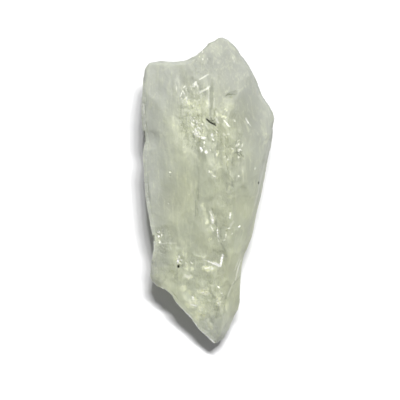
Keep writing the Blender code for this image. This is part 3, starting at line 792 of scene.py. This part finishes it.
class Nodes:
    """The nodes of a material or a world, added and joined in one call each."""

    def __init__(self, owner):
        owner.use_nodes = True
        self.tree = owner.node_tree
        self.tree.nodes.clear()

    def put(self, socket, value):
        if isinstance(value, bpy.types.NodeSocket):
            self.tree.links.new(value, socket)
        else:
            socket.default_value = value

    def add(self, kind, settings=None, **inputs):
        """The outputs of a new node. Its inputs go by their names, or as i0, i1 and so on by number."""
        node = self.tree.nodes.new("ShaderNode" + kind)
        for name, value in (settings or {}).items():
            setattr(node, name, value)
        for name, value in inputs.items():
            self.put(node.inputs[int(name[1:]) if name[1:].isdigit() else name.replace("_", " ")], value)
        return node.outputs

    def math(self, operation, first, second, clamp=False):
        return self.add("Math", {"operation": operation, "use_clamp": clamp}, i0=first, i1=second)[0]

    def times(self, first, second):
        return self.math("MULTIPLY", first, second)

    def plus(self, first, second):
        return self.math("ADD", first, second)

    def vector(self, operation, **inputs):
        return self.add("VectorMath", {"operation": operation}, **inputs)

    def attribute(self, name):
        return self.add("Attribute", {"attribute_name": name})["Fac"]

    def spread(self, value, low, high, new_low=0.0, new_high=1.0):
        """The value, from new_low where it is low to new_high where it is high, with soft ends."""
        limits = {"From_Min": low, "From_Max": high, "To_Min": new_low, "To_Max": new_high}
        settings = {"interpolation_type": "SMOOTHSTEP"}
        return self.add("MapRange", settings, Value=value, **limits)[0]

    def noise(self, place, pace, detail, distortion, roughness):
        """A noise of the given pace, in periods per millimetre."""
        scaled = self.add("Mapping", Vector=place, Scale=[share / MM for share in pace])[0]
        values = {"Scale": 1.0, "Detail": detail, "Distortion": distortion, "Roughness": roughness}
        return self.add("TexNoise", Vector=scaled, **values)["Fac"]

    def bent(self, place, value, reach):
        """The place, moved a little by the value, so that nothing placed there runs quite straight."""
        offset = self.add("CombineXYZ", X=value, Y=value, Z=value)[0]
        return self.vector("ADD", i0=place, i1=self.vector("SCALE", i0=offset, Scale=reach * MM)[0])[0]

    def cells(self, place, size, feature):
        """Angular cells of the given size, and the place as a share of it."""
        scale = [1 / (length * MM) for length in size]
        scaled = self.add("Mapping", Vector=place, Scale=scale)[0]
        settings = {"voronoi_dimensions": "3D", "feature": feature}
        return self.add("TexVoronoi", settings, Vector=scaled, Scale=1.0), scaled

    def flakes(self, place, size):
        """Angular cells: two random values for each, and the height of its leaning plane."""
        cells, scaled = self.cells(place, size, "F1")
        tone = self.add("SeparateColor", Color=cells["Color"])
        reach = self.vector("SUBTRACT", i0=scaled, i1=cells["Position"])[0]
        lean = self.vector("SUBTRACT", i0=cells["Color"], i1=(0.5, 0.5, 0.5))[0]
        return tone["Red"], tone["Green"], self.vector("DOT_PRODUCT", i0=reach, i1=lean)["Value"]

    def seams(self, place, size, width):
        """Thin lines where angular cells meet; the width is a share of the cells."""
        cells, _ = self.cells(place, size, "DISTANCE_TO_EDGE")
        return self.spread(cells["Distance"], 0.0, width, 1.0, 0.0)

    def mix(self, factor, first, second):
        node = self.tree.nodes.new("ShaderNodeMix")
        node.data_type = "RGBA"
        for name, value in (("Factor_Float", factor), ("A_Color", first), ("B_Color", second)):
            self.put(next(s for s in node.inputs if s.identifier == name), value)
        return next(s for s in node.outputs if s.identifier == "Result_Color")


BODY = (0.533, 0.561, 0.436, 1)
BODY_GREY = (0.590, 0.613, 0.547, 1)
BODY_YELLOW = (0.626, 0.653, 0.485, 1)
VEIL_AND_GLOW_COLOUR = (0.880, 0.905, 0.680, 1)
DEPTH = (0.340, 0.365, 0.280, 1)
PALE_AND_HIGHLIGHT = (0.960, 0.965, 0.880, 1)
SHADE_AND_SEAM_DARK = (0.030, 0.034, 0.022, 1)
GLOSS_TINT = (1.0, 1.0, 0.88, 1)
# Noises: periods per millimetre, detail, distortion and roughness.
CLOUDS = (0.16, 0.1, 0.16), 3, 0.6, 0.5
WISPS = (0.75, 0.4, 0.75), 4, 1.4, 0.6
SPECKS = (3.2, 2.2, 3.2), 3, 0.3, 0.6
THREADS = (2.6, 0.22, 2.6), 3, 0.5, 0.6
# Between which values clouds, wisps, threads, specks, flakes, seams and shiny flakes begin to show.
CLOUDS_SEEN, WISPS_SEEN, THREADS_SEEN, SPECKS_SEEN = (0.38, 0.62), (0.5, 0.72), (0.52, 0.7), (0.3, 0.7)
FLAKES_SEEN, SEAMS_SEEN, SHINY_SEEN = (-0.1, 0.16), (0.4, 0.55), (0.55, 0.75)
# Angular cells: their size in millimetres, and how far they are bent.
LARGE_FLAKES, SMALL_FLAKES, FLAKE_BEND = (0.6, 1.05, 0.6), (0.26, 0.42, 0.26), 0.1
SEAM_CELLS, SEAM_BEND, SEAM_WIDTH = (1.0, 3.4, 1.0), 1.2, 0.06
# How pale wisps, threads and veils are, and how many flakes a veil turns pale.
WISPS_PALE, THREADS_PALE, VEILS_PALE, VEILS_ON_FLAKES = 0.22, 0.18, 0.7, 0.75
LARGE_TONE, SMALL_TONE = 0.6, 0.4  # how much large and small flakes count for that
FLAKES_PALE = (0.35, 0.95)  # how pale flakes are where the stone is smooth, and where it is rough
SEAMS_DEEP = (0.1, 0.45)  # how dark the seams are, in the same way
# how far glints are painted pale, as a painted highlight, and how far the depths darken
PAINTED_GLINT_PALE, DEPTH_SHARE = 0.9, 0.8
ROUGHNESSES = (0.5, 0.62)  # between specks, and on them
SHINY_FLAKES, SHINY_ROUGHNESS = 0.6, 0.55  # how shiny flakes are, and how much roughness is left to them
LARGE_HEIGHT, SMALL_HEIGHT, FLAKE_HEIGHT, GRAIN_HEIGHT = 0.6, 0.26, 0.42, 0.02
QUARTZ_IOR = 1.544
TRANSMITTED = 0.22  # the share of light that passes straight through the surface
SCATTERED = 0.8  # the share of the rest that scatters below it
SCATTER_COLOURS, SCATTER_DEPTH = (1.0, 1.0, 0.8), 1.4  # how far each colour scatters, as shares of the depth
ABSORBED = (0.8, 0.88, 0.66, 1)
ABSORPTION_DENSITY = 120.0


def stone_colour(nodes, clouds, wisps, threads, seams, large, small):
    """Green quartz with pale veils, threads and flakes, darker depths and seams, and the thin lines, with
    painted light and shade: broad places, glow, highlights on the glints, and shade in cracks and along
    rims.
    """
    veil_and_glow, crisp = nodes.attribute("veil_and_glow"), nodes.attribute("crisp")
    colour = nodes.mix(nodes.spread(clouds, *CLOUDS_SEEN), BODY, BODY_YELLOW)
    colour = nodes.mix(nodes.attribute("edge"), colour, BODY_GREY)
    # painted light and shade: the colour is made lighter or darker by the broad places and by the painted
    # shade of the upper end
    colour = nodes.vector("SCALE", i0=colour, Scale=nodes.attribute("tone"))[0]
    wispy = nodes.times(nodes.spread(wisps, *WISPS_SEEN), WISPS_PALE)
    thready = nodes.times(nodes.spread(threads, *THREADS_SEEN), THREADS_PALE)
    flaky = nodes.plus(nodes.times(large, LARGE_TONE), nodes.times(small, SMALL_TONE))
    spared = nodes.math("SUBTRACT", 1.0, nodes.times(veil_and_glow, VEILS_ON_FLAKES))
    shown = nodes.spread(nodes.math("SUBTRACT", flaky, spared), *FLAKES_SEEN)
    shown = nodes.times(shown, nodes.spread(crisp, 0.0, 1.0, *FLAKES_PALE))
    veiled = nodes.plus(shown, nodes.times(veil_and_glow, VEILS_PALE))
    pale = nodes.math("ADD", veiled, nodes.plus(wispy, thready), clamp=True)
    # pale veils, wisps, threads and flakes, and painted glow
    colour = nodes.mix(pale, colour, VEIL_AND_GLOW_COLOUR)
    # painted highlight: the glints are painted pale, besides being glossy
    colour = nodes.mix(nodes.spread(nodes.attribute("gloss_and_painted_glint"), 0.0, 1.0, 0.0, PAINTED_GLINT_PALE), colour, PALE_AND_HIGHLIGHT)
    colour = nodes.mix(nodes.times(nodes.attribute("depth"), DEPTH_SHARE), colour, DEPTH)
    seamed = nodes.times(seams, nodes.spread(crisp, 0.0, 1.0, *SEAMS_DEEP))
    colour = nodes.mix(seamed, colour, DEPTH)
    # pale fracture marks, and painted highlights and rim glow
    colour = nodes.mix(nodes.attribute("pale"), colour, PALE_AND_HIGHLIGHT)
    # painted shade in cracks, notches and pits and along the rims, and faint seams
    return nodes.mix(nodes.attribute("shade_and_seams"), colour, SHADE_AND_SEAM_DARK)


def stone_material():
    """Milky quartz: it scatters light below its surface, lets a part through and absorbs it inside."""
    material = bpy.data.materials.new("milky green quartz")
    nodes = Nodes(material)
    place = nodes.add("TexCoord")["Object"]
    clouds, wisps, specks, threads = (nodes.noise(place, *how) for how in (CLOUDS, WISPS, SPECKS, THREADS))
    seams = nodes.seams(nodes.bent(place, wisps, SEAM_BEND), SEAM_CELLS, SEAM_WIDTH)
    seams = nodes.times(seams, nodes.spread(clouds, *SEAMS_SEEN))
    bent = nodes.bent(place, specks, FLAKE_BEND)
    large, small = nodes.flakes(bent, LARGE_FLAKES), nodes.flakes(bent, SMALL_FLAKES)
    colour = stone_colour(nodes, clouds, wisps, threads, seams, large[0], small[0])

    crisp = nodes.attribute("crisp")
    shiny = nodes.times(nodes.spread(large[1], *SHINY_SEEN), nodes.times(crisp, SHINY_FLAKES))
    shiny = nodes.math("MAXIMUM", shiny, nodes.attribute("gloss_and_painted_glint"))
    dull = nodes.spread(specks, *SPECKS_SEEN, *ROUGHNESSES)
    roughness = nodes.times(dull, nodes.spread(shiny, 0.0, 1.0, 1.0, SHINY_ROUGHNESS))
    height = nodes.plus(nodes.times(large[2], LARGE_HEIGHT), nodes.times(small[2], SMALL_HEIGHT))
    height = nodes.times(height, nodes.times(crisp, FLAKE_HEIGHT))
    height = nodes.plus(height, nodes.times(nodes.plus(specks, threads), GRAIN_HEIGHT))
    bump = nodes.add("Bump", Height=height, Strength=1.0, Distance=MM)[0]

    shader = nodes.add(
        "BsdfPrincipled",
        {"subsurface_method": "RANDOM_WALK"},
        Base_Color=colour,
        Roughness=roughness,
        Normal=bump,
        IOR=QUARTZ_IOR,
        Specular_Tint=GLOSS_TINT,
        Transmission_Weight=TRANSMITTED,
        Subsurface_Weight=SCATTERED,
        Subsurface_Radius=SCATTER_COLOURS,
        Subsurface_Scale=SCATTER_DEPTH * MM,
    )[0]
    absorbing = nodes.add("VolumeAbsorption", Color=ABSORBED, Density=ABSORPTION_DENSITY)[0]
    nodes.add("OutputMaterial", Surface=shader, Volume=absorbing)
    return material


# -------- the piece

CRISP_FROM, CRISP_OVER = 0.2, 0.6  # the flakes show from this roughness on, fully after so much more


def write_looks(mesh, points, above, rough, gloss_and_painted_glint):
    """Gives each point of the mesh the values that the material reads by their names."""
    # painted shade along the rims, and faint seams
    grey = lines(points, SEAM_AND_RIM_SHADE_LINES)
    pale = lines(ragged(points, PALE_RAGGED, PALE_SEED), PALE_AND_HIGHLIGHT_LINES)
    long_veils = lines(ragged(points, LONG_VEILS_RAGGED, LONG_VEIL_SEED), LONG_VEILS)
    # pale veils, partly painted glow
    veil_and_glow = np.maximum(patches(points, above, VEILS_AND_PAINTED_GLOW, VEIL_SEED), long_veils * above)
    depth = np.maximum(patches(points, above, DEPTHS, DEPTH_SEED), grey * above)
    looks = {
        "pale": pale * above,
        "shade_and_seams": np.maximum(lines(points, RECESS_SHADE_LINES), GREY_SHARE * grey) * above,
        "veil_and_glow": veil_and_glow + hidden_patches(points, above, HIDDEN_SEED),
        "depth": depth + hidden_patches(points, above, HIDDEN_DEPTH_SEED),
        "gloss_and_painted_glint": gloss_and_painted_glint,
        "crisp": np.clip((rough - CRISP_FROM) / CRISP_OVER, 0, 1),
        "edge": edge_share(points),
        # painted light and shade
        "tone": tone(points),
    }
    for name, values in looks.items():
        mesh.attributes.new(name, "FLOAT", "POINT").data.foreach_set("value", values.astype(np.float32))


def crystal():
    """The shard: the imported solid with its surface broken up, in its material."""
    mesh, points, above, rough, gloss_and_painted_glint = broken_surface(fine_mesh())
    write_looks(mesh, points, above, rough, gloss_and_painted_glint)
    mesh.transform(Matrix.Scale(MM, 4))
    mesh.materials.clear()
    mesh.materials.append(stone_material())
    mesh.shade_smooth()
    mesh.set_sharp_from_angle(angle=SHARP_ANGLE)
    piece = placed("crystal_stone", mesh)
    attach(piece, "root")
    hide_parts("crystal")
    return piece


# -------- the stage

FLOOR_SIZE = 3.0  # in metres
FLOOR_GAP = 0.05  # how far below the stone it lies
FLOOR_COLOUR, FLOOR_ROUGHNESS, FLOOR_SHINE = (0.83, 0.83, 0.84, 1), 0.8, 0.2
LIGHT_STRENGTH = 4.25  # of all the lamps together
SKY_STRENGTH = 0.2
BACKDROP = (0.96, 0.96, 0.97, 1)


def floor():
    """The white surface that the stone lies on."""
    material = bpy.data.materials.new("white surface")
    nodes = Nodes(material)
    looks = {"Base_Color": FLOOR_COLOUR, "Roughness": FLOOR_ROUGHNESS, "Specular_IOR_Level": FLOOR_SHINE}
    nodes.add("OutputMaterial", Surface=nodes.add("BsdfPrincipled", **looks)[0])
    bpy.ops.mesh.primitive_plane_add(size=FLOOR_SIZE, location=(0, 0, -FLOOR_GAP * MM))
    ground = bpy.context.object
    ground.name = "floor"
    ground.data.materials.append(material)


def lamps():
    """A row of soft lamps far away, which the bright facets mirror."""
    for turn in LAMP_TURNS:
        sun = bpy.data.lights.new("lamp", "SUN")
        sun.energy = LIGHT_STRENGTH / len(LAMP_TURNS)
        sun.angle = LIGHT_ANGLE
        x, y, z = toward_lamp(turn)
        placed("lamp", sun).rotation_euler = (math.acos(z), 0, math.atan2(y, x) + math.pi / 2)


def sky():
    """A dim white sky, which the camera sees as a pale backdrop."""
    scene.world = bpy.data.worlds.new("studio")
    nodes = Nodes(scene.world)
    seen = nodes.add("LightPath")["Is Camera Ray"]
    dim = nodes.add("Background", Color=(1, 1, 1, 1), Strength=SKY_STRENGTH)[0]
    pale = nodes.add("Background", Color=BACKDROP, Strength=1.0)[0]
    nodes.add("OutputWorld", Surface=nodes.add("MixShader", i0=seen, i1=dim, i2=pale)[0])


def camera():
    """Straight above the stone, framed as the photograph is."""
    lens = bpy.data.cameras.new("camera")
    lens.sensor_width = SENSOR
    lens.lens = SENSOR * CAMERA_DISTANCE / (FRAME_PIXELS * PIXEL)
    lens.clip_start = NEAREST_SEEN * MM
    eye = placed("camera", lens)
    x = (FRAME_PIXELS / 2 - PIXEL_OF_ORIGIN[0]) * PIXEL
    y = (PIXEL_OF_ORIGIN[1] - FRAME_PIXELS / 2) * PIXEL
    eye.location = (x * MM, y * MM, (CAMERA_DISTANCE + RIM_HEIGHT) * MM)
    scene.camera = eye


camera()
lamps()
sky()
floor()
crystal()
scene.view_settings.view_transform = "Standard"
